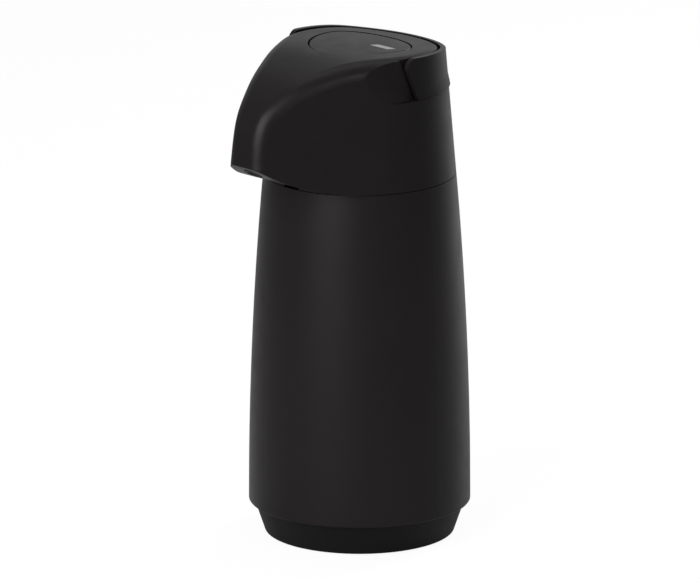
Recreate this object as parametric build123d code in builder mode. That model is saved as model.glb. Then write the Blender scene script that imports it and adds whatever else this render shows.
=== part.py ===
from build123d import *
from math import acos, atan2, cos, hypot, sin, sqrt
import os

# Every length is in millimetres. The floor is z = 0 and the spout points along -Y.

# The sizes that the rest follows
LIP_R = 75.0
LIP_Z = 22.5
BODY_H = 228.3
BODY_TAPER = 10.0
HEAD_H = 89.7
HEAD_REACH = 110.7

# Clearances
FIT = 0.15
SOFT_GAP = 0.3
RUN_GAP = 0.5
PIN_GAP = 0.05
SEAM_GAP = 0.5
BUTTON_GAP = 1.0
HANDLE_GAP = 2.3
QUARTER = 90

# Outer body and foot
BODY_WALL = 2.2
LIP_ROUND = 1.0
SEAM_R = LIP_R - BODY_TAPER
SEAM_Z = LIP_Z + BODY_H
RIM_R = SEAM_R - 5.8
FOOT_Z = 1.0
FOOT_ROUND = 1.5
FOOT_PLATE = 2.6
FOOT_TOP_R = LIP_R - 3.7
FOOT_R = FOOT_TOP_R - 7.3
CUP_STEP_Z = LIP_Z + 3.5
CUP_TOP_Z = CUP_STEP_Z + 8.0
CUP_WALL = 2.0
CUP_FLANGE_R = LIP_R - BODY_WALL - FIT
CUP_PLATE_Z = FOOT_Z + FOOT_PLATE
PAD_R = FOOT_R - 7.0
PAD_TOP_Z = 2 * FOOT_Z

# Vacuum flask
GLASS = 1.8
VACUUM = 3.0
NECK_R = 35.0
MOUTH_R = NECK_R - 2 * GLASS - VACUUM
MOUTH_RIM = 2.0
MOUTH_Z = SEAM_Z - 12.8
FLASK_R = LIP_R - 14.0
FLASK_Z = CUP_PLATE_Z + 8.4
FLASK_DOME = 30.0
SHOULDER_H = 34.0
SHOULDER_Z = MOUTH_Z - SHOULDER_H - 14.0
CUSHION_IN_R = 22.0
CUSHION_OUT_R = 44.0
CUSHION_TOP_Z = FLASK_Z + 7.0

# Neck: gasket, collar and the thread that the head's nut runs on
GASKET = 2.2
GASKET_WALL = 2.4
GASKET_Z = MOUTH_Z + MOUTH_RIM
GASKET_SKIRT_Z = MOUTH_Z - 7.0
COLLAR_Z = GASKET_Z + GASKET
COLLAR_PLATE = 3.0
COLLAR_TOP_Z = COLLAR_Z + COLLAR_PLATE
COLLAR_OUT_R = SEAM_R - 2.6
COLLAR_EDGE = 3.2
COLLAR_SKIRT = 2.2
COLLAR_SKIRT_R = NECK_R + 2 * SOFT_GAP + GASKET_WALL
COLLAR_SKIRT_Z = MOUTH_Z - 4.0
THREAD_IN_R = NECK_R + 5.0
THREAD_OUT_R = THREAD_IN_R + 3.0
LAND = 0.6
LAND_H = 1.6
LAND_STEP = 3.6
LANDS = 2

# Stopper and dip tube
PLUG_R = MOUTH_R - 1.0
PLUG_Z = MOUTH_Z - 12.0
PLUG_GROOVE_R = PLUG_R - 1.6
PLUG_GROOVE_Z = PLUG_Z + 4.0
PLUG_GROOVE_H = 4.0
PLUG_SEAL_R = MOUTH_R - SOFT_GAP
STOP_FLANGE_R = THREAD_IN_R - 2.0
STOP_FLANGE = 4.0
BOSS_R = 13.0
TUBE_R = 4.5
TUBE_WALL = 1.2
TUBE_Z = FLASK_Z + 13.0
AIR_HOLE_R = 2.5
AIR_HOLE_PLACE_R = 18.0
AIR_HOLES = 3
FLAP_IN_R = 12.0
FLAP_OUT_R = 23.0
FLAP = 0.9

# Head form: crest as shares of the reach and of the height, from the rear to the tip of the beak
HEAD_WALL = 2.6
DRAFT = 0.0846
HEAD_BOTTOM_Z = SEAM_Z + SEAM_GAP
HEAD_TOP_Z = SEAM_Z + HEAD_H + HEAD_WALL
SIDE_REACH = LIP_R + 5.0
NOSE_REACH = HEAD_REACH + 20.0
CREST = [
    (-0.633, 0.903), (-0.524, 0.928), (-0.407, 0.948), (-0.253, 0.976), (-0.063, 0.992), (0.118, 1.0),
    (0.257, 0.999), (0.392, 0.986), (0.542, 0.943), (0.690, 0.877), (0.818, 0.779), (0.911, 0.675),
    (0.958, 0.574), (0.985, 0.442), (1.0, 0.261),
]
UNDER_START = SEAM_R - 24.3
UNDER_MID = (0.676, 0.066)
NOSE_HALF = 13.2
TIP_R = SEAM_R - DRAFT * CREST[-1][1] * HEAD_H
SIDE_ANGLE = atan2(NOSE_HALF, HEAD_REACH) + acos(TIP_R / hypot(HEAD_REACH, NOSE_HALF))
CREST_ROUND = 0.88 * NOSE_HALF
SKIRT_TOP_Z = SEAM_Z + 13.2
NOTCH_W = 13.7
NOTCH_H = 2.3
BEAK_PLATE = 2.0

# Handle channel and the ramped pockets ahead of it
CHANNEL_WALL = 2.4
LEDGE_Z = SEAM_Z + HEAD_H - 29.1
RAMP = [(0.0, 24.0), (8.2, 34.8), (20.0, 40.0), (34.3, 43.0)]

# Handle
BAND = 3.5
BAND_LIFT = 0.3
BAND_TIP = 3.9
BAND_FRONT = 14.2
BAND_CORNER_R = 7.0
BAND_TOP_Z = SEAM_Z + HEAD_H - 0.3
BAND_CLEAR = 1.2
LIP_OUT = 1.3
LIP_TOP_Z = LEDGE_Z + 9.4
CHANNEL_DEPTH = BAND + HANDLE_GAP
PIVOT_F = 7.0
PIVOT_Z = LEDGE_Z + 18.9
PIN_R = 2.5
PIN_IN_X = SEAM_R - 16.3
PIN_OUT_X = SEAM_R - 8.5

# Button
EGG_CENTRE = -7.0
EGG_FRONT = 43.5
EGG_REAR = 23.5
EGG_SIDE = 35.8
CROWN = (0.970, 0.996, 0.988)
BUTTON_WALL = 1.8
BUTTON_ROOF = 2.6
BUTTON_ROUND = 0.7
BUTTON_SKIRT_Z = SEAM_Z + HEAD_H - 16.2
COLLAR_LOW_Z = BUTTON_SKIRT_Z - 3.0
OPENING_WALL = 2.0
BADGE_START = 10.0
BADGE_L = 19.0
BADGE_H = 5.2
BADGE_Y = 2.5
BADGE_SLANT = 2.4
BADGE_PROUD = 0.2
BADGE_Z = SEAM_Z + HEAD_H - BUTTON_ROOF + 0.4

# Floor of the head, with the nut
FLOOR = 2.5
FLOOR_Z = SEAM_Z + 5.2
FLOOR_TOP_Z = FLOOR_Z + FLOOR
FLOOR_R = SEAM_R - 3.5
FLOOR_HOLE_R = BOSS_R + RUN_GAP
NUT_IN_R = THREAD_OUT_R + LAND + LAND
NUT_OUT_R = NUT_IN_R + 2.5
NUT_Z = SEAM_Z - 2.8
THREAD_TOP_Z = FLOOR_Z - SOFT_GAP
BOSS_TOP_Z = FLOOR_Z + 7.0
SEAL_R = 7.2
SEAL_Z = FLOOR_Z - 2.0
O_RING_Z = FLOOR_Z
O_RING_H = 2.2
SCREWS = 3
SCREW_TURN = 90.0
SCREW_R = 1.5
SCREW_HEAD_R = 3.0
SCREW_HEAD = 2.0
SCREW_L = 12.0
SCREW_BOSS_R = 3.8
SHELL_SCREW_R = SEAM_R - 7.7
SHELL_BOSS_TOP_Z = FLOOR_TOP_Z + 2 * SCREW_L

# Delivery pipe and nozzle
PIPE_R = 5.0
PIPE_WALL = 1.3
PIPE_LOW_Z = SEAL_Z + 0.6
PIPE_Z = SEAM_Z + 0.3584 * HEAD_H
PIPE_BEND = 7.0
NOZZLE_F = HEAD_REACH - 10.3
NOZZLE_R = 6.2
NOZZLE_BORE_R = 3.9
NOZZLE_LOW_Z = SEAM_Z + 10.0
NOZZLE_TOP_Z = PIPE_Z - PIPE_BEND
NOZZLE_SEAT_Z = NOZZLE_TOP_Z - 2.6
NOZZLE_FLANGE_R = 7.2
NOZZLE_FLANGE = 1.1
NOZZLE_PROUD = 0.5
PIPE_END_Z = NOZZLE_SEAT_Z + 0.2

# Pump: deck, bellows, spring and plunger
DECK = 2.5
DECK_Z = PIPE_Z + PIPE_R + SOFT_GAP
DECK_TOP_Z = DECK_Z + DECK
DECK_R = THREAD_IN_R
DECK_WALL = 2.4
DECK_SLOT = 2 * PIPE_R + 2.0
DECK_SCREW_R = DECK_R - 5.0
PUMP_Y = -3.0
ROOF_Z = SEAM_Z + HEAD_H - BUTTON_ROOF
PLUNGER_TOP_Z = ROOF_Z - 1.0
PLUNGER = 4.0
PLUNGER_R = 24.0
PLUNGER_SPIGOT_R = 9.6
PLUNGER_SPIGOT_Z = PLUNGER_TOP_Z - 12.0
PLUNGER_HOLE_R = 3.0
VALVE_R = 5.5
VALVE = 0.8
BELLOWS_R = 25.0
BELLOWS_IN_R = 20.5
BELLOWS_WALL = 1.2
BELLOWS_FLANGE_R = 28.5
BELLOWS_FOLDS = 5
BELLOWS_Z = DECK_TOP_Z + SOFT_GAP
BELLOWS_TOP_Z = PLUNGER_TOP_Z - PLUNGER - SOFT_GAP
CLAMP_IN_R = 26.0
CLAMP_OUT_R = 31.0
CLAMP_H = 2.2
SPRING_R = 11.6
WIRE_R = 0.8
SPRING_PITCH = 6.4
SEAT_R = 14.0
SEAT = 1.3
SEAT_SPIGOT_R = 9.6
SEAT_SPIGOT_H = 5.0
SPRING_Z = DECK_TOP_Z + SEAT + WIRE_R + RUN_GAP
SPRING_TOP_Z = PLUNGER_TOP_Z - PLUNGER - WIRE_R - RUN_GAP


def wall_radius(z):
    return SEAM_R - DRAFT * (z - SEAM_Z)


def ring(inner, outer, low, high):
    with BuildPart() as made:
        with BuildSketch(Plane.XY.offset(low)):
            Circle(outer)
            if inner:
                Circle(inner, mode=Mode.SUBTRACT)
        extrude(amount=high - low)
    return made.part


def cone(inset, low, high):
    with BuildPart() as made:
        with BuildSketch(Plane.XY.offset(low)):
            Circle(wall_radius(low) - inset)
        with BuildSketch(Plane.XY.offset(high)):
            Circle(wall_radius(high) - inset)
        loft(ruled=True)
    return made.part


def posts(place, radius, low, high):
    with BuildPart() as made:
        with BuildSketch(Plane.XY.offset(low)):
            with PolarLocations(place, SCREWS, start_angle=SCREW_TURN):
                Circle(radius)
        extrude(amount=high - low)
    return made.part


def block(y_low, y_high, z_low, z_high, half_x):
    with BuildPart() as made:
        with BuildSketch(Plane.XY.offset(z_low)):
            with Locations((0, (y_low + y_high) / 2)):
                Rectangle(2 * half_x, y_high - y_low)
        extrude(amount=z_high - z_low)
    return made.part


# Outer body: an arc that is upright at the lip, turned about the axis
with BuildPart() as outer_body:
    with BuildSketch(Plane.XZ):
        with BuildLine():
            TangentArc((LIP_R, LIP_Z), (SEAM_R, SEAM_Z), tangent=(0, 1))
            TangentArc((LIP_R - BODY_WALL, LIP_Z), (SEAM_R - BODY_WALL, SEAM_Z - BODY_WALL), tangent=(0, 1))
            Line((LIP_R - BODY_WALL, LIP_Z), (LIP_R, LIP_Z))
            Polyline(
                (SEAM_R, SEAM_Z), (RIM_R, SEAM_Z), (RIM_R, SEAM_Z - BODY_WALL), (SEAM_R - BODY_WALL, SEAM_Z - BODY_WALL)
            )
        make_face()
    revolve(axis=Axis.Z)
    fillet(outer_body.edges().group_by(Axis.Z)[0].sort_by(SortBy.RADIUS)[-1], LIP_ROUND)

# Foot: a cone that tucks up inside the lip
with BuildPart() as base_cup:
    with BuildSketch(Plane.XZ):
        with BuildLine():
            Polyline(
                (0, FOOT_Z), (FOOT_R, FOOT_Z), (FOOT_TOP_R, LIP_Z), (FOOT_TOP_R, CUP_STEP_Z),
                (CUP_FLANGE_R, CUP_STEP_Z), (CUP_FLANGE_R, CUP_TOP_Z), (FOOT_TOP_R - CUP_WALL, CUP_TOP_Z),
                (FOOT_TOP_R - CUP_WALL, LIP_Z), (FOOT_R - CUP_WALL, CUP_PLATE_Z), (0, CUP_PLATE_Z), (0, FOOT_Z),
            )
        make_face()
    revolve(axis=Axis.Z)
    fillet(base_cup.edges().group_by(Axis.Z)[0].sort_by(SortBy.RADIUS)[-1], FOOT_ROUND)
    add(ring(0, PAD_R, FOOT_Z, PAD_TOP_Z), mode=Mode.SUBTRACT)

with BuildPart() as foot_pad:
    add(ring(0, PAD_R - FIT, 0, PAD_TOP_Z))


# Vacuum flask: two glass walls of one form, the inner one with the rolled mouth
def flask_form(inset):
    radius = FLASK_R - inset
    neck = NECK_R - inset
    dome = FLASK_Z + FLASK_DOME
    shoulder = SHOULDER_H - inset
    with BuildPart() as made:
        with BuildSketch(Plane.XZ):
            with BuildLine():
                EllipticalCenterArc((0, dome), radius, FLASK_DOME - inset, start_angle=270, arc_size=QUARTER)
                Line((radius, dome), (radius, SHOULDER_Z))
                EllipticalCenterArc((neck, SHOULDER_Z), radius - neck, shoulder, start_angle=0, arc_size=QUARTER)
                Polyline(
                    (neck, SHOULDER_Z + shoulder), (neck, MOUTH_Z), (0, MOUTH_Z), (0, dome - FLASK_DOME + inset)
                )
            make_face()
        revolve(axis=Axis.Z)
    return made.part


with BuildPart() as flask_outer:
    add(flask_form(0))
    add(flask_form(GLASS), mode=Mode.SUBTRACT)

with BuildPart() as flask_inner:
    add(flask_form(GLASS + VACUUM))
    add(ring(MOUTH_R, NECK_R, MOUTH_Z, MOUTH_Z + MOUTH_RIM))
    add(flask_form(2 * GLASS + VACUUM), mode=Mode.SUBTRACT)

with BuildPart() as flask_cushion:
    add(ring(CUSHION_IN_R, CUSHION_OUT_R, CUP_PLATE_Z, CUSHION_TOP_Z))
    add(flask_form(-SOFT_GAP), mode=Mode.SUBTRACT)

# Neck: a gasket clipped over the flask mouth and the collar that holds it down
with BuildPart() as neck_gasket:
    add(ring(MOUTH_R, NECK_R + SOFT_GAP + GASKET_WALL, GASKET_Z, COLLAR_Z))
    add(ring(NECK_R + SOFT_GAP, NECK_R + SOFT_GAP + GASKET_WALL, GASKET_SKIRT_Z, GASKET_Z))

with BuildPart() as neck_collar:
    add(ring(MOUTH_R, COLLAR_OUT_R, COLLAR_Z, COLLAR_TOP_Z))
    add(ring(COLLAR_OUT_R - COLLAR_EDGE, COLLAR_OUT_R, COLLAR_TOP_Z, SEAM_Z - BODY_WALL))
    add(ring(COLLAR_SKIRT_R, COLLAR_SKIRT_R + COLLAR_SKIRT, COLLAR_SKIRT_Z, COLLAR_Z))
    add(ring(THREAD_IN_R, THREAD_OUT_R, COLLAR_TOP_Z, THREAD_TOP_Z))
    for land in range(LANDS):
        land_top = THREAD_TOP_Z - land * LAND_STEP
        add(ring(THREAD_OUT_R, THREAD_OUT_R + LAND, land_top - LAND_H, land_top))

# Stopper: plug, flange and boss with the bore for the dip tube
with BuildPart() as stopper:
    add(ring(0, PLUG_R, PLUG_Z, COLLAR_TOP_Z))
    add(ring(0, STOP_FLANGE_R, COLLAR_TOP_Z, COLLAR_TOP_Z + STOP_FLANGE))
    add(ring(0, BOSS_R, COLLAR_TOP_Z + STOP_FLANGE, BOSS_TOP_Z))
    add(ring(0, TUBE_R + PIN_GAP, PLUG_Z, SEAL_Z), mode=Mode.SUBTRACT)
    add(ring(0, SEAL_R, SEAL_Z, BOSS_TOP_Z), mode=Mode.SUBTRACT)
    add(ring(PLUG_GROOVE_R, PLUG_R, PLUG_GROOVE_Z, PLUG_GROOVE_Z + PLUG_GROOVE_H), mode=Mode.SUBTRACT)
    with BuildSketch(Plane.XY.offset(PLUG_Z)):
        with PolarLocations(AIR_HOLE_PLACE_R, AIR_HOLES):
            Circle(AIR_HOLE_R)
    extrude(amount=COLLAR_TOP_Z + STOP_FLANGE - PLUG_Z, mode=Mode.SUBTRACT)

with BuildPart() as stopper_gasket:
    add(ring(PLUG_GROOVE_R + FIT, PLUG_SEAL_R, PLUG_GROOVE_Z + FIT, PLUG_GROOVE_Z + PLUG_GROOVE_H - FIT))

with BuildPart() as air_valve:
    add(ring(FLAP_IN_R, FLAP_OUT_R, PLUG_Z - FLAP, PLUG_Z))

with BuildPart() as dip_tube:
    add(ring(TUBE_R - TUBE_WALL, TUBE_R, TUBE_Z, SEAL_Z))

with BuildPart() as elbow_o_ring:
    add(ring(PIPE_R + PIN_GAP, SEAL_R - PIN_GAP, O_RING_Z, O_RING_Z + O_RING_H))


# Head form: a drafted teardrop under a side profile, standing on a round skirt
def teardrop(radius):
    touch = (radius * sin(SIDE_ANGLE), -radius * cos(SIDE_ANGLE))
    with BuildSketch() as made:
        with BuildLine():
            ThreePointArc(touch, (0, radius), (-touch[0], touch[1]))
            Polyline((-touch[0], touch[1]), (0, -radius / cos(SIDE_ANGLE)), touch)
        make_face()
    return made.sketch


def drafted(inset):
    with BuildPart() as made:
        for z in (SEAM_Z, HEAD_TOP_Z):
            with BuildSketch(Plane.XY.offset(z)):
                add(teardrop(wall_radius(z) - inset))
        loft(ruled=True)
    return made.part


def crest_line(inset):
    crest = [(f * HEAD_REACH, z * HEAD_H) for f, z in CREST]
    points = []
    for i, (f, z) in enumerate(crest):
        before, after = crest[max(i - 1, 0)], crest[min(i + 1, len(crest) - 1)]
        run, rise = after[0] - before[0], after[1] - before[1]
        length = sqrt(run**2 + rise**2)
        points.append((-f - inset * rise / length, SEAM_Z + z - inset * run / length))
    return points


def under_crest(inset, low):
    crest = crest_line(inset)
    with BuildPart() as made:
        with BuildSketch(Plane.YZ):
            with BuildLine():
                Spline(*crest)
                Polyline(crest[-1], (crest[-1][0], low), (crest[0][0], low), crest[0])
            make_face()
        extrude(amount=SIDE_REACH, both=True)
    return made.part


# Everything that lies below the beak, up to the curved underside raised by lift
def below_beak(lift):
    start = (-UNDER_START, HEAD_BOTTOM_Z + lift)
    mid = (-UNDER_MID[0] * HEAD_REACH, SEAM_Z + UNDER_MID[1] * HEAD_H + lift)
    tip = (-CREST[-1][0] * HEAD_REACH, SEAM_Z + CREST[-1][1] * HEAD_H + lift)
    with BuildPart() as made:
        with BuildSketch(Plane.YZ):
            with BuildLine():
                ThreePointArc(start, mid, tip)
                Polyline(tip, (-NOSE_REACH, tip[1]), (-NOSE_REACH, NUT_Z), (start[0], NUT_Z), start)
            make_face()
        extrude(amount=SIDE_REACH, both=True)
        add(cone(0, NUT_Z - HEAD_WALL, HEAD_TOP_Z), mode=Mode.SUBTRACT)
    return made.part


# The head's form inside an inset, with the crest's edges rounded about the same centres
def head_form(inset, low):
    with BuildPart() as made:
        add(drafted(inset))
        add(under_crest(inset, low), mode=Mode.INTERSECT)
        crest_face = made.faces().sort_by(Axis.Z)[-1]
        fillet([edge for edge in crest_face.edges() if edge.center().Z > LEDGE_Z], CREST_ROUND - inset)
    return made.part


with BuildPart() as outer_form:
    add(head_form(0, HEAD_BOTTOM_Z))
    add(below_beak(0), mode=Mode.SUBTRACT)


# How far forward the band's end lies at a height
def band_end(z):
    return BAND_TIP + (z - LEDGE_Z) * (BAND_FRONT - BAND_TIP) / (BAND_TOP_Z - LEDGE_Z)


# One level of the pocket's cut: outside the line from the band's end to where the pocket runs out on the wall
def pocket_level(z, front, side, grow):
    wall = (wall_radius(z) - front * cos(SIDE_ANGLE)) / sin(SIDE_ANGLE)
    end = band_end(z)
    inner = sqrt((wall_radius(z) - BAND) ** 2 - end**2) - BAND_CLEAR
    slope = (inner - wall) / (front - end)
    ahead = front + BAND_FRONT
    return [
        (side * (inner - grow), 0), (side * (inner - grow), -end),
        (side * (wall - slope * BAND_FRONT - grow), -ahead),
        (side * SIDE_REACH, -ahead), (side * SIDE_REACH, 0), (side * (inner - grow), 0),
    ]


def pocket_cut(side, grow):
    levels = [(-grow, RAMP[0][1])] * bool(grow) + RAMP
    with BuildPart() as made:
        for rise, front in levels:
            z = LEDGE_Z + rise
            with BuildSketch(Plane.XY.offset(z)):
                with BuildLine():
                    Polyline(*pocket_level(z, front, side, grow))
                make_face()
        loft()
    return made.part


# What the channel and its pockets take away: all that is outside the hood's wall, above the ledge
def channel_cut(grow):
    low, high = LEDGE_Z - grow, HEAD_TOP_Z + HEAD_WALL
    with BuildPart() as made:
        with BuildSketch(Plane.YZ):
            with BuildLine():
                Polyline(
                    (-band_end(low) - grow, low), (-band_end(high) - grow, high), (SIDE_REACH, high),
                    (SIDE_REACH, low), (-band_end(low) - grow, low),
                )
            make_face()
        extrude(amount=SIDE_REACH, both=True)
        add(cone(CHANNEL_DEPTH + grow, low - HEAD_WALL, high + HEAD_WALL), mode=Mode.SUBTRACT)
        for side in (1, -1):
            add(pocket_cut(side, grow))
    return made.part


def egg(inset):
    with BuildSketch() as made:
        with BuildLine():
            EllipticalCenterArc((0, -EGG_CENTRE), EGG_SIDE - inset, EGG_REAR - inset, start_angle=0, arc_size=2 * QUARTER)
            EllipticalCenterArc(
                (0, -EGG_CENTRE), EGG_SIDE - inset, EGG_FRONT - inset, start_angle=2 * QUARTER, arc_size=2 * QUARTER
            )
        make_face()
    return made.sketch


def egg_block(inset, low, high):
    with BuildPart() as made:
        with BuildSketch(Plane.XY.offset(low)):
            add(egg(inset))
        extrude(amount=high - low)
    return made.part


# The skirt's front, which stands under the beak
with BuildPart() as skirt_front:
    add(cone(0, SEAM_Z, SKIRT_TOP_Z))
    add(cone(HEAD_WALL, SEAM_Z, SKIRT_TOP_Z), mode=Mode.SUBTRACT)
    add(block(-SIDE_REACH, -UNDER_START, SEAM_Z, SKIRT_TOP_Z, SIDE_REACH), mode=Mode.INTERSECT)

# What is left hollow in the head
with BuildPart() as hollow:
    add(head_form(HEAD_WALL, SEAM_Z))
    add(skirt_front.part, mode=Mode.SUBTRACT)
    add(channel_cut(CHANNEL_WALL), mode=Mode.SUBTRACT)
    add(egg_block(-OPENING_WALL, COLLAR_LOW_Z, HEAD_TOP_Z), mode=Mode.SUBTRACT)


def pins(radius):
    with BuildPart() as made:
        for end in (1, -1):
            with BuildSketch(Plane.YZ.offset(end * PIN_IN_X)):
                with Locations((-PIVOT_F, PIVOT_Z)):
                    Circle(radius)
            extrude(amount=end * (PIN_OUT_X - PIN_IN_X))
    return made.part


# Head shell: form less hollow, with the skirt, screw bosses, channel, notch and the button's opening
with BuildPart() as head_shell:
    add(outer_form.part)
    add(hollow.part, mode=Mode.SUBTRACT)
    add(posts(SHELL_SCREW_R, SCREW_BOSS_R, FLOOR_TOP_Z, SHELL_BOSS_TOP_Z))
    add(posts(SHELL_SCREW_R, SCREW_R, FLOOR_TOP_Z, FLOOR_TOP_Z + SCREW_L), mode=Mode.SUBTRACT)
    add(channel_cut(0), mode=Mode.SUBTRACT)
    add(egg_block(0, COLLAR_LOW_Z, HEAD_TOP_Z), mode=Mode.SUBTRACT)
    add(block(-SIDE_REACH, -UNDER_START, HEAD_BOTTOM_Z, HEAD_BOTTOM_Z + NOTCH_H, NOTCH_W / 2), mode=Mode.SUBTRACT)
    add(pins(PIN_R + PIN_GAP), mode=Mode.SUBTRACT)


# Handle: the rear half of the head's own wall, cut free and turned on two pins
def band_side():
    low = LEDGE_Z + BAND_LIFT
    corner = (-BAND_FRONT, BAND_TOP_Z)
    with BuildPart() as made:
        with BuildSketch(Plane.YZ) as side:
            with BuildLine():
                Polyline((-BAND_TIP, low), corner, (SIDE_REACH, BAND_TOP_Z), (SIDE_REACH, low), (-BAND_TIP, low))
            make_face()
            fillet(side.vertices().sort_by_distance(corner)[0], BAND_CORNER_R)
        extrude(amount=SIDE_REACH, both=True)
    return made.part


# A flare along the band's lower edge, for the fingertips
with BuildPart() as finger_lip:
    with BuildSketch(Plane.XY.offset(LEDGE_Z + BAND_LIFT)):
        with Locations((0, LIP_OUT)):
            Circle(wall_radius(LEDGE_Z))
    with BuildSketch(Plane.XY.offset(LIP_TOP_Z)):
        Circle(wall_radius(LIP_TOP_Z) - FIT)
    loft(ruled=True)
    add(cone(BAND / 2, LEDGE_Z, LIP_TOP_Z), mode=Mode.SUBTRACT)
    add(block(0, SIDE_REACH, LEDGE_Z, LIP_TOP_Z, SIDE_REACH), mode=Mode.INTERSECT)

with BuildPart() as handle_band:
    add(cone(0, LEDGE_Z, HEAD_TOP_Z))
    add(cone(BAND, LEDGE_Z, HEAD_TOP_Z), mode=Mode.SUBTRACT)
    add(under_crest(0, HEAD_BOTTOM_Z), mode=Mode.INTERSECT)
    add(band_side(), mode=Mode.INTERSECT)
    add(finger_lip.part)
    add(pins(PIN_R + PIN_GAP), mode=Mode.SUBTRACT)

with BuildPart() as handle_pins:
    add(pins(PIN_R))

# Beak underside: a curved plate inside the shell's wall, in front of the skirt
with BuildPart() as beak_underside:
    add(head_form(HEAD_WALL + FIT, SEAM_Z))
    add(below_beak(BEAK_PLATE), mode=Mode.INTERSECT)
    add(below_beak(0), mode=Mode.SUBTRACT)
    add(cone(-FIT, SEAM_Z, HEAD_TOP_Z), mode=Mode.SUBTRACT)
    with BuildSketch(Plane.XY.offset(SEAM_Z)):
        with Locations((0, -NOZZLE_F)):
            Circle(NOZZLE_R + FIT)
    extrude(amount=HEAD_TOP_Z - SEAM_Z, mode=Mode.SUBTRACT)


# Head floor: closes the head and carries the nut for the collar's thread
with BuildPart() as head_floor:
    add(ring(FLOOR_HOLE_R, FLOOR_R, FLOOR_Z, FLOOR_TOP_Z))
    add(ring(NUT_IN_R, NUT_OUT_R, NUT_Z, FLOOR_Z))
    add(posts(SHELL_SCREW_R, SCREW_R, FLOOR_Z, FLOOR_TOP_Z), mode=Mode.SUBTRACT)
    add(posts(DECK_SCREW_R, SCREW_R, FLOOR_Z, FLOOR_TOP_Z), mode=Mode.SUBTRACT)

with BuildPart() as head_screws:
    for place in (SHELL_SCREW_R, DECK_SCREW_R):
        add(posts(place, SCREW_HEAD_R, FLOOR_Z - SCREW_HEAD, FLOOR_Z))
        add(posts(place, SCREW_R, FLOOR_Z, FLOOR_TOP_Z + SCREW_L))

# Pump deck: a drum on the floor, slotted for the pipe
with BuildPart() as pump_deck:
    add(ring(0, DECK_R, DECK_Z, DECK_TOP_Z))
    add(ring(DECK_R - DECK_WALL, DECK_R, FLOOR_TOP_Z, DECK_Z))
    add(posts(DECK_SCREW_R, SCREW_BOSS_R, FLOOR_TOP_Z, FLOOR_TOP_Z + SCREW_L))
    add(posts(DECK_SCREW_R, SCREW_R, FLOOR_TOP_Z, FLOOR_TOP_Z + SCREW_L), mode=Mode.SUBTRACT)
    add(block(-DECK_R - DECK_WALL, 0, FLOOR_TOP_Z, DECK_Z, DECK_SLOT / 2), mode=Mode.SUBTRACT)

PIPE_PATH = [(0, PIPE_LOW_Z), (0, PIPE_Z), (-NOZZLE_F, PIPE_Z), (-NOZZLE_F, PIPE_END_Z)]


# Delivery pipe: up out of the stopper, forward along the beak, down into the nozzle
def pipe_bar(radius):
    with BuildPart() as made:
        with BuildLine(Plane.YZ):
            FilletPolyline(*PIPE_PATH, radius=PIPE_BEND)
        with BuildSketch(Plane.XY.offset(PIPE_LOW_Z)):
            Circle(radius)
        sweep()
    return made.part


with BuildPart() as delivery_pipe:
    add(pipe_bar(PIPE_R))
    add(pipe_bar(PIPE_R - PIPE_WALL), mode=Mode.SUBTRACT)

with BuildPart() as nozzle:
    with Locations((0, -NOZZLE_F)):
        add(ring(0, NOZZLE_R, NOZZLE_LOW_Z, NOZZLE_TOP_Z))
        add(ring(0, NOZZLE_FLANGE_R, NOZZLE_TOP_Z - NOZZLE_FLANGE, NOZZLE_TOP_Z))
        add(ring(0, NOZZLE_BORE_R, NOZZLE_LOW_Z, NOZZLE_TOP_Z), mode=Mode.SUBTRACT)
        add(ring(0, PIPE_R + PIN_GAP, NOZZLE_SEAT_Z, NOZZLE_TOP_Z), mode=Mode.SUBTRACT)
    add(below_beak(-NOZZLE_PROUD), mode=Mode.SUBTRACT)


# Bellows: one wall folded in and out, with a flange at the foot
def fold_line(inset):
    count = 2 * BELLOWS_FOLDS
    rise = (BELLOWS_TOP_Z - BELLOWS_Z) / count
    return [((BELLOWS_R if i % 2 else BELLOWS_IN_R) - inset, BELLOWS_Z + i * rise) for i in range(count + 1)]


with BuildPart() as bellows:
    with BuildSketch(Plane.XZ.offset(-PUMP_Y)):
        with BuildLine():
            folds = fold_line(0) + fold_line(BELLOWS_WALL)[::-1]
            Polyline(*folds, folds[0])
        make_face()
    revolve(axis=Axis((0, PUMP_Y, 0), (0, 0, 1)))
    with Locations((0, PUMP_Y)):
        add(ring(BELLOWS_IN_R - BELLOWS_WALL, BELLOWS_FLANGE_R, BELLOWS_Z, BELLOWS_Z + BELLOWS_WALL))

with BuildPart() as bellows_clamp:
    with Locations((0, PUMP_Y)):
        add(ring(CLAMP_IN_R, CLAMP_OUT_R, DECK_TOP_Z, BELLOWS_Z + 2 * BELLOWS_WALL + CLAMP_H))
        add(ring(CLAMP_IN_R - BELLOWS_WALL, BELLOWS_FLANGE_R + SOFT_GAP, DECK_TOP_Z, BELLOWS_Z + BELLOWS_WALL + SOFT_GAP),
            mode=Mode.SUBTRACT)

with BuildPart() as spring_seat:
    with Locations((0, PUMP_Y)):
        add(ring(0, SEAT_R, DECK_TOP_Z, DECK_TOP_Z + SEAT))
        add(ring(0, SEAT_SPIGOT_R, DECK_TOP_Z + SEAT, DECK_TOP_Z + SEAT + SEAT_SPIGOT_H))

with BuildPart() as return_spring:
    with BuildLine():
        coil = Helix(SPRING_PITCH, SPRING_TOP_Z - SPRING_Z, SPRING_R, center=(0, PUMP_Y, SPRING_Z))
    with BuildSketch(Plane(origin=coil @ 0, z_dir=coil % 0)):
        Circle(WIRE_R)
    sweep(is_frenet=True)


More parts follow.
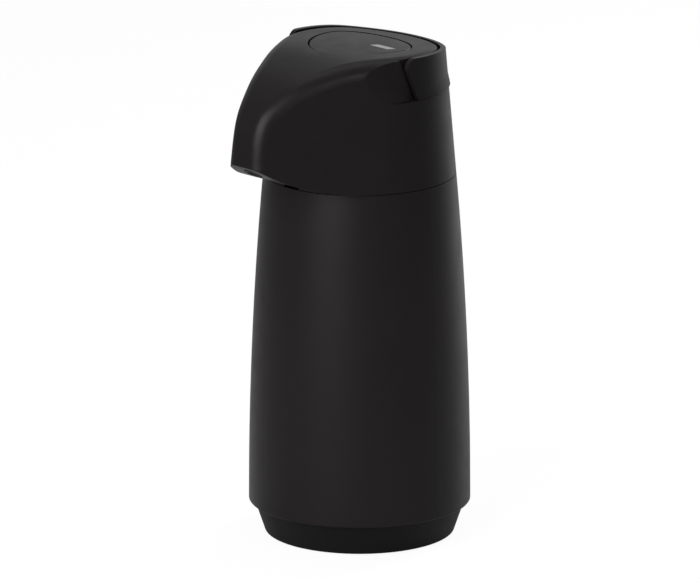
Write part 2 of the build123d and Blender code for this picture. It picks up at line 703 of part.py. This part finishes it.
# Button: egg-shaped cap with a hollow skirt, its top an arc that lies along the crest
def button_crown(lift):
    ends = (-EGG_CENTRE + EGG_REAR, -EGG_CENTRE - EGG_FRONT)
    places = (ends[0], sum(ends) / 2, ends[1])
    points = [(y, SEAM_Z + share * HEAD_H + lift) for y, share in zip(places, CROWN)]
    with BuildPart() as made:
        with BuildSketch(Plane.YZ):
            with BuildLine():
                ThreePointArc(*points)
                Polyline(points[-1], (ends[1], COLLAR_LOW_Z), (ends[0], COLLAR_LOW_Z), points[0])
            make_face()
        extrude(amount=EGG_SIDE, both=True)
    return made.part


def badge_block(grow, low, high):
    left, right = BADGE_START - grow, BADGE_START + BADGE_L + grow
    near, away = BADGE_Y - BADGE_H / 2 - grow, BADGE_Y + BADGE_H / 2 + grow
    with BuildPart() as made:
        with BuildSketch(Plane.XY.offset(low)):
            with BuildLine():
                Polyline(
                    (left, near), (right - BADGE_SLANT, near), (right, away), (left + BADGE_SLANT, away), (left, near)
                )
            make_face()
        extrude(amount=high - low)
    return made.part


with BuildPart() as button_cap:
    add(egg_block(BUTTON_GAP, BUTTON_SKIRT_Z, HEAD_TOP_Z))
    add(button_crown(0), mode=Mode.INTERSECT)
    top_face = button_cap.faces().sort_by(Axis.Z)[-1]
    fillet(top_face.edges(), BUTTON_ROUND)
    add(egg_block(BUTTON_GAP + BUTTON_WALL, BUTTON_SKIRT_Z, PLUNGER_TOP_Z), mode=Mode.SUBTRACT)
    add(badge_block(PIN_GAP, BADGE_Z, HEAD_TOP_Z), mode=Mode.SUBTRACT)

with BuildPart() as button_badge:
    add(badge_block(0, BADGE_Z, HEAD_TOP_Z))
    add(button_crown(BADGE_PROUD), mode=Mode.INTERSECT)

with BuildPart() as plunger:
    with Locations((0, PUMP_Y)):
        add(ring(0, PLUNGER_R, PLUNGER_TOP_Z - PLUNGER, PLUNGER_TOP_Z))
        add(ring(0, PLUNGER_SPIGOT_R, PLUNGER_SPIGOT_Z, PLUNGER_TOP_Z - PLUNGER))
        add(ring(0, PLUNGER_HOLE_R, PLUNGER_SPIGOT_Z, PLUNGER_TOP_Z), mode=Mode.SUBTRACT)

with BuildPart() as intake_valve:
    with Locations((0, PUMP_Y)):
        add(ring(0, VALVE_R, PLUNGER_SPIGOT_Z - VALVE, PLUNGER_SPIGOT_Z))

PIECES = {
    "outer_body": outer_body, "base_cup": base_cup, "foot_pad": foot_pad, "flask_cushion": flask_cushion,
    "flask_outer": flask_outer, "flask_inner": flask_inner, "neck_gasket": neck_gasket, "neck_collar": neck_collar,
    "stopper": stopper, "stopper_gasket": stopper_gasket, "air_valve": air_valve, "dip_tube": dip_tube,
    "elbow_o_ring": elbow_o_ring, "head_shell": head_shell, "head_floor": head_floor,
    "beak_underside": beak_underside, "pump_deck": pump_deck, "delivery_pipe": delivery_pipe, "nozzle": nozzle,
    "head_screws": head_screws, "handle_pins": handle_pins, "bellows_clamp": bellows_clamp,
    "spring_seat": spring_seat, "button_cap": button_cap, "plunger": plunger, "intake_valve": intake_valve,
    "button_badge": button_badge, "bellows": bellows, "return_spring": return_spring, "handle_band": handle_band,
}

os.makedirs("parts", exist_ok=True)
for label, piece in PIECES.items():
    piece.part.label = label
    export_step(piece.part, f"parts/{label}.step")
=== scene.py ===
import math

import bmesh
import bpy
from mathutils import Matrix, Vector


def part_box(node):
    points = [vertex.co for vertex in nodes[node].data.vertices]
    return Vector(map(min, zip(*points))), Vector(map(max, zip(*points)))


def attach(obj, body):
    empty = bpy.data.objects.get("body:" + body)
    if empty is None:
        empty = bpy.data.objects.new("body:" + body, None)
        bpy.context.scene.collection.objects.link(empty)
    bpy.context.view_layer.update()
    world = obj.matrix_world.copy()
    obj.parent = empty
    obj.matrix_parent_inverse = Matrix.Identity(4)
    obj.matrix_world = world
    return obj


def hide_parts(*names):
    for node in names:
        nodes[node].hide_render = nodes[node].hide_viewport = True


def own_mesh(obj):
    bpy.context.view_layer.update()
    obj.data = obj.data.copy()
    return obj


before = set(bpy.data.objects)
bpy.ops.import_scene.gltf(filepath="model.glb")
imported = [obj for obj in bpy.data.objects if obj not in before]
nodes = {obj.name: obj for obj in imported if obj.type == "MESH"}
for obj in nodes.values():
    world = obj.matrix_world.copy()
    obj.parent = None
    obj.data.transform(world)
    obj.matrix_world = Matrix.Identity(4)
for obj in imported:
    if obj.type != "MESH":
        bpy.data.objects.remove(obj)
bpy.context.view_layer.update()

# Camera: the photograph's view, through a long lens from far away
AZIMUTH = 45.0
ELEVATION = 15.5
DISTANCE = 8.0
FRAME_WIDTH = 0.4720
AIM_HEIGHT = 0.1682
AIM_LEFT = 0.0065
SENSOR = 36.0
CLIP_END = 100.0

# Softboxes: azimuth, elevation, distance, width, height, power
LIGHT_AIM = (0, 0, 0.18)
SOFTBOXES = {
    "key": (11.0, 26.0, 1.6, 1.0, 1.3, 20.0),
    "side": (80.0, 30.0, 1.8, 0.4, 0.5, 3.0),
    "rear_right": (180.0, 25.0, 1.6, 0.6, 1.2, 12.6),
    "back": (225.0, 20.0, 1.8, 2.2, 0.9, 1.5),
    "top": (225.0, 80.0, 1.4, 1.0, 1.0, 2.8),
}

# World: its strength for the object's fill and for the camera, and the share of that white in reflections
FILL = 0.11
WHITE = 1.0
MIRRORED = 0.25

# Floor: its look under light, and the plain white that the camera sees most of
FLOOR_SIZE = 40.0
FLOOR_CELLS = 8
FLOOR_DARK = (0.66, 0.66, 0.66)
FLOOR_LIGHT = (0.70, 0.70, 0.70)
FLOOR_DRIFT = 3.0
FLOOR_ROUGH = 0.7
FLOOR_GLOW = 1.1
FLOOR_GLOW_SHARE = 0.85

# Materials: the part of a noise that is used, how fine each noise is, and how far gloss and surface vary
NOISE_LOW, NOISE_HIGH = 0.3, 0.7
DRIFT_SCALE = 14.0
PATCH_SCALE = 60.0
PLASTIC_GRAIN = 1900.0
GRAIN_DEPTH, GRAIN_STRENGTH = 0.00003, 0.35
GLOSS_SPREAD = 0.03
MARK_SCALE = 900.0
MARK_DEPTH, MARK_STRENGTH = 0.00001, 0.2
MARK_SMOOTHER, MARK_ROUGHER = 0.05, 0.08

# Bellows and spring: radii, wall and pitch, and how finely they are divided
FOLDS = 5
FOLD_IN_R = 0.0205
FOLD_OUT_R = 0.0250
FOLD_WALL = 0.0012
FOLD_STEPS = 12
PITCH = 0.0064
WIRE_R = 0.0008
TURN_STEPS = 40
ROUND_STEPS = 72
WIRE_STEPS = 12


def node_tree(name):
    material = bpy.data.materials.new(name)
    material.use_nodes = True
    tree = material.node_tree
    shader = tree.nodes["Principled BSDF"]
    place = tree.nodes.new("ShaderNodeTexCoord")
    return material, tree, shader, place


def noise(tree, place, scale, detail=4.0, rough=0.5):
    node = tree.nodes.new("ShaderNodeTexNoise")
    node.inputs["Scale"].default_value = scale
    node.inputs["Detail"].default_value = detail
    node.inputs["Roughness"].default_value = rough
    tree.links.new(place.outputs["Object"], node.inputs["Vector"])
    return node


def spread(tree, source, low, high):
    node = tree.nodes.new("ShaderNodeMapRange")
    node.inputs["From Min"].default_value = NOISE_LOW
    node.inputs["From Max"].default_value = NOISE_HIGH
    node.inputs["To Min"].default_value = low
    node.inputs["To Max"].default_value = high
    tree.links.new(source.outputs["Fac"], node.inputs["Value"])
    return node.outputs["Result"]


def tint(tree, source, dark, light):
    node = tree.nodes.new("ShaderNodeValToRGB")
    for element, share, colour in zip(node.color_ramp.elements, (NOISE_LOW, NOISE_HIGH), (dark, light)):
        element.position = share
        element.color = (*colour, 1)
    tree.links.new(source.outputs["Fac"], node.inputs["Fac"])
    return node.outputs["Color"]


def relief(tree, shader, source, distance, strength):
    node = tree.nodes.new("ShaderNodeBump")
    node.inputs["Distance"].default_value = distance
    node.inputs["Strength"].default_value = strength
    tree.links.new(source.outputs["Fac"], node.inputs["Height"])
    tree.links.new(node.outputs["Normal"], shader.inputs["Normal"])


def maths(tree, operation, first, second):
    node = tree.nodes.new("ShaderNodeMath")
    node.operation = operation
    for socket, term in zip(node.inputs, (first, second)):
        if isinstance(term, float):
            socket.default_value = term
        else:
            tree.links.new(term, socket)
    return node.outputs["Value"]


def moulded(name, dark, light, rough, specular, grain=PLASTIC_GRAIN):
    """Moulded plastic or rubber: slow colour drift, patchy gloss and a fine spark-eroded grain."""
    material, tree, shader, place = node_tree(name)
    drift = noise(tree, place, DRIFT_SCALE)
    patches = noise(tree, place, PATCH_SCALE)
    fine = noise(tree, place, grain, detail=2.0, rough=0.6)
    gloss = spread(tree, patches, rough - GLOSS_SPREAD, rough + GLOSS_SPREAD)
    tree.links.new(tint(tree, drift, dark, light), shader.inputs["Base Color"])
    tree.links.new(gloss, shader.inputs["Roughness"])
    relief(tree, shader, fine, GRAIN_DEPTH, GRAIN_STRENGTH)
    shader.inputs["Specular IOR Level"].default_value = specular
    return material


def brushed(name, dark, light, rough, metallic, stretch):
    """Metal with fine marks drawn out along one axis."""
    material, tree, shader, place = node_tree(name)
    scale = tree.nodes.new("ShaderNodeMapping")
    scale.inputs["Scale"].default_value = stretch
    marks = noise(tree, place, MARK_SCALE, detail=5.0, rough=0.6)
    gloss = spread(tree, marks, rough - MARK_SMOOTHER, rough + MARK_ROUGHER)
    tree.links.new(place.outputs["Object"], scale.inputs["Vector"])
    tree.links.new(scale.outputs["Vector"], marks.inputs["Vector"])
    tree.links.new(tint(tree, marks, dark, light), shader.inputs["Base Color"])
    tree.links.new(gloss, shader.inputs["Roughness"])
    relief(tree, shader, marks, MARK_DEPTH, MARK_STRENGTH)
    shader.inputs["Metallic"].default_value = metallic
    return material


# Plastics and rubbers: dark and light colour, roughness, specular level, and the grain where it isn't plain
body_black = moulded("body_black", (0.0090, 0.0070, 0.0074), (0.0108, 0.0084, 0.0089), 0.37, 0.20)
head_black = moulded("head_black", (0.0082, 0.0065, 0.0069), (0.0099, 0.0079, 0.0083), 0.38, 0.20)
foot_black = moulded("foot_black", (0.0056, 0.0050, 0.0051), (0.0071, 0.0063, 0.0064), 0.50, 0.16)
rubber_black = moulded("rubber_black", (0.012, 0.012, 0.012), (0.018, 0.018, 0.018), 0.75, 0.25, 1200.0)
seal_grey = moulded("seal_grey", (0.52, 0.52, 0.50), (0.60, 0.60, 0.58), 0.62, 0.35, 1400.0)
inner_plastic = moulded("inner_plastic", (0.030, 0.029, 0.029), (0.038, 0.037, 0.037), 0.5, 0.4)
pipe_plastic = moulded("pipe_plastic", (0.62, 0.62, 0.60), (0.70, 0.70, 0.68), 0.4, 0.45)
bellows_rubber = moulded("bellows_rubber", (0.42, 0.42, 0.40), (0.50, 0.50, 0.48), 0.68, 0.3, 1200.0)

# Metals: dark and light colour, roughness, metallic share, and the marks' stretch along each axis
badge_silver = brushed("badge_silver", (0.40, 0.40, 0.41), (0.48, 0.48, 0.49), 0.42, 0.3, (0.05, 1, 1))
steel = brushed("steel", (0.50, 0.50, 0.51), (0.62, 0.62, 0.63), 0.28, 1.0, (1, 1, 0.05))
silvered_glass = brushed("silvered_glass", (0.72, 0.75, 0.77), (0.80, 0.82, 0.84), 0.08, 0.9, (1, 1, 1))

FINISH = {
    "outer_body": body_black, "base_cup": foot_black, "foot_pad": rubber_black, "flask_cushion": rubber_black,
    "flask_outer": silvered_glass, "flask_inner": silvered_glass, "neck_gasket": seal_grey,
    "neck_collar": inner_plastic, "stopper": inner_plastic, "stopper_gasket": seal_grey, "air_valve": seal_grey,
    "dip_tube": steel, "elbow_o_ring": seal_grey, "head_shell": head_black, "head_floor": inner_plastic,
    "beak_underside": head_black, "pump_deck": inner_plastic, "delivery_pipe": pipe_plastic,
    "nozzle": foot_black, "head_screws": steel, "handle_pins": steel, "bellows_clamp": inner_plastic,
    "spring_seat": inner_plastic, "bellows": bellows_rubber, "return_spring": steel, "button_cap": head_black,
    "plunger": inner_plastic, "intake_valve": seal_grey, "button_badge": badge_silver,
    "handle_band": head_black,
}
for name, material in FINISH.items():
    materials = nodes[name].data.materials
    materials.clear()
    materials.append(material)


# Bellows and spring, built as meshes; on the real pump both squash as the button goes down
def turn(count):
    return [2 * math.pi * i / count for i in range(count)]


def skinned(name, rings, looped):
    """A smooth mesh over rings of points. It joins the last ring to the first, or closes both ends."""
    count = len(rings[0])
    faces = []
    for i in range(len(rings) if looped else len(rings) - 1):
        here, there = i * count, (i + 1) % len(rings) * count
        for k in range(count):
            after = (k + 1) % count
            faces.append((here + k, here + after, there + after, there + k))
    if not looped:
        faces += [tuple(range(count)), tuple(range(len(rings) * count - count, len(rings) * count))]
    data = bpy.data.meshes.new(name)
    data.from_pydata([point for ring in rings for point in ring], [], faces)
    skin = bmesh.new()
    skin.from_mesh(data)
    bmesh.ops.recalc_face_normals(skin, faces=skin.faces)
    skin.to_mesh(data)
    skin.free()
    data.shade_smooth()
    return data


def squashed(data, node):
    """A piece that stands for a node of the pump, attached to the head while the node is hidden; the real part
    gets shorter by the button's travel.
    """
    data.materials.append(FINISH[node])
    piece = bpy.data.objects.new(data.name, data)
    bpy.context.collection.objects.link(piece)
    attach(piece, "head")
    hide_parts(node)
    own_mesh(piece)


def bellows_rings():
    low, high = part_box("bellows")
    centre_y, flange_r = (low[1] + high[1]) / 2, (high[0] - low[0]) / 2
    middle, depth = (FOLD_IN_R + FOLD_OUT_R) / 2, (FOLD_OUT_R - FOLD_IN_R) / 2
    count = FOLDS * FOLD_STEPS
    levels = [low[2] + (high[2] - low[2]) * i / count for i in range(count + 1)]
    wave = [middle - depth * math.cos(2 * math.pi * i / FOLD_STEPS) for i in range(count + 1)]
    outside = list(zip(wave, levels))
    inside = [(r - FOLD_WALL, z) for r, z in outside]
    flange = [(flange_r, low[2]), (flange_r, low[2] + FOLD_WALL)]
    profile = flange + outside[2:] + inside[::-1]
    return [[(r * math.cos(a), centre_y + r * math.sin(a), z) for a in turn(ROUND_STEPS)] for r, z in profile]


def spring_rings():
    low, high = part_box("return_spring")
    centre = Vector((0, (low[1] + high[1]) / 2, low[2] + WIRE_R))
    coil_r = (high[0] - low[0]) / 2 - WIRE_R
    count = round((high[2] - low[2] - 2 * WIRE_R) / PITCH * TURN_STEPS)
    rings = []
    for i in range(count + 1):
        a = 2 * math.pi * i / TURN_STEPS
        outward = Vector((math.cos(a), math.sin(a), 0))
        along = Vector((-math.sin(a), math.cos(a), PITCH / (2 * math.pi * coil_r))).normalized()
        across = along.cross(outward)
        middle = centre + outward * coil_r + Vector((0, 0, PITCH * i / TURN_STEPS))
        ring = [middle + (outward * math.cos(b) + across * math.sin(b)) * WIRE_R for b in turn(WIRE_STEPS)]
        rings.append(ring)
    return rings


squashed(skinned("bellows_folds", bellows_rings(), True), "bellows")
squashed(skinned("spring_coil", spring_rings(), False), "return_spring")

# Floor
bpy.ops.mesh.primitive_grid_add(x_subdivisions=FLOOR_CELLS, y_subdivisions=FLOOR_CELLS, size=FLOOR_SIZE)
floor = bpy.context.object
floor.name = "floor"
floor_look, tree, shader, place = node_tree("floor_look")
shader.inputs["Roughness"].default_value = FLOOR_ROUGH
soft = tint(tree, noise(tree, place, FLOOR_DRIFT), FLOOR_DARK, FLOOR_LIGHT)
tree.links.new(soft, shader.inputs["Base Color"])
glow = tree.nodes.new("ShaderNodeEmission")
glow.inputs["Strength"].default_value = FLOOR_GLOW
path = tree.nodes.new("ShaderNodeLightPath")
share = maths(tree, "MULTIPLY", path.outputs["Is Camera Ray"], FLOOR_GLOW_SHARE)
mix = tree.nodes.new("ShaderNodeMixShader")
tree.links.new(share, mix.inputs["Fac"])
tree.links.new(shader.outputs["BSDF"], mix.inputs[1])
tree.links.new(glow.outputs["Emission"], mix.inputs[2])
tree.links.new(mix.outputs["Shader"], tree.nodes["Material Output"].inputs["Surface"])
floor.data.materials.append(floor_look)

# World: a low fill for the object, white to the camera
world = bpy.data.worlds.new("studio")
bpy.context.scene.world = world
world.use_nodes = True
tree = world.node_tree
back = tree.nodes["Background"]
back.inputs["Color"].default_value = (1, 1, 1, 1)
path = tree.nodes.new("ShaderNodeLightPath")
mirrored = maths(tree, "MULTIPLY", path.outputs["Is Glossy Ray"], MIRRORED)
reflected = maths(tree, "MAXIMUM", mirrored, path.outputs["Is Transmission Ray"])
seen = maths(tree, "MAXIMUM", path.outputs["Is Camera Ray"], reflected)
level = tree.nodes.new("ShaderNodeMapRange")
level.inputs["To Min"].default_value = FILL
level.inputs["To Max"].default_value = WHITE
tree.links.new(seen, level.inputs["Value"])
tree.links.new(level.outputs["Result"], back.inputs["Strength"])


def direction(azimuth, elevation):
    a, e = math.radians(azimuth), math.radians(elevation)
    return Vector((math.sin(a) * math.cos(e), -math.cos(a) * math.cos(e), math.sin(e)))


def placed(name, data, aim, azimuth, elevation, distance):
    """A lamp or camera that looks at a point from a direction and a distance."""
    out = direction(azimuth, elevation)
    thing = bpy.data.objects.new(name, data)
    thing.location = aim + out * distance
    thing.rotation_euler = out.to_track_quat("Z", "Y").to_euler()
    bpy.context.collection.objects.link(thing)
    return thing


for name, (azimuth, elevation, distance, width, height, power) in SOFTBOXES.items():
    lamp = bpy.data.lights.new(name, "AREA")
    lamp.shape = "RECTANGLE"
    lamp.size = width
    lamp.size_y = height
    lamp.energy = power
    placed(name, lamp, Vector(LIGHT_AIM), azimuth, elevation, distance)

lens = bpy.data.cameras.new("camera")
lens.sensor_width = SENSOR
lens.lens = SENSOR * DISTANCE / FRAME_WIDTH
lens.clip_end = CLIP_END
aim = Vector((0, 0, AIM_HEIGHT)) - direction(AZIMUTH + 90, 0) * AIM_LEFT
bpy.context.scene.camera = placed("camera", lens, aim, AZIMUTH, ELEVATION, DISTANCE)
bpy.context.scene.view_settings.view_transform = "Standard"
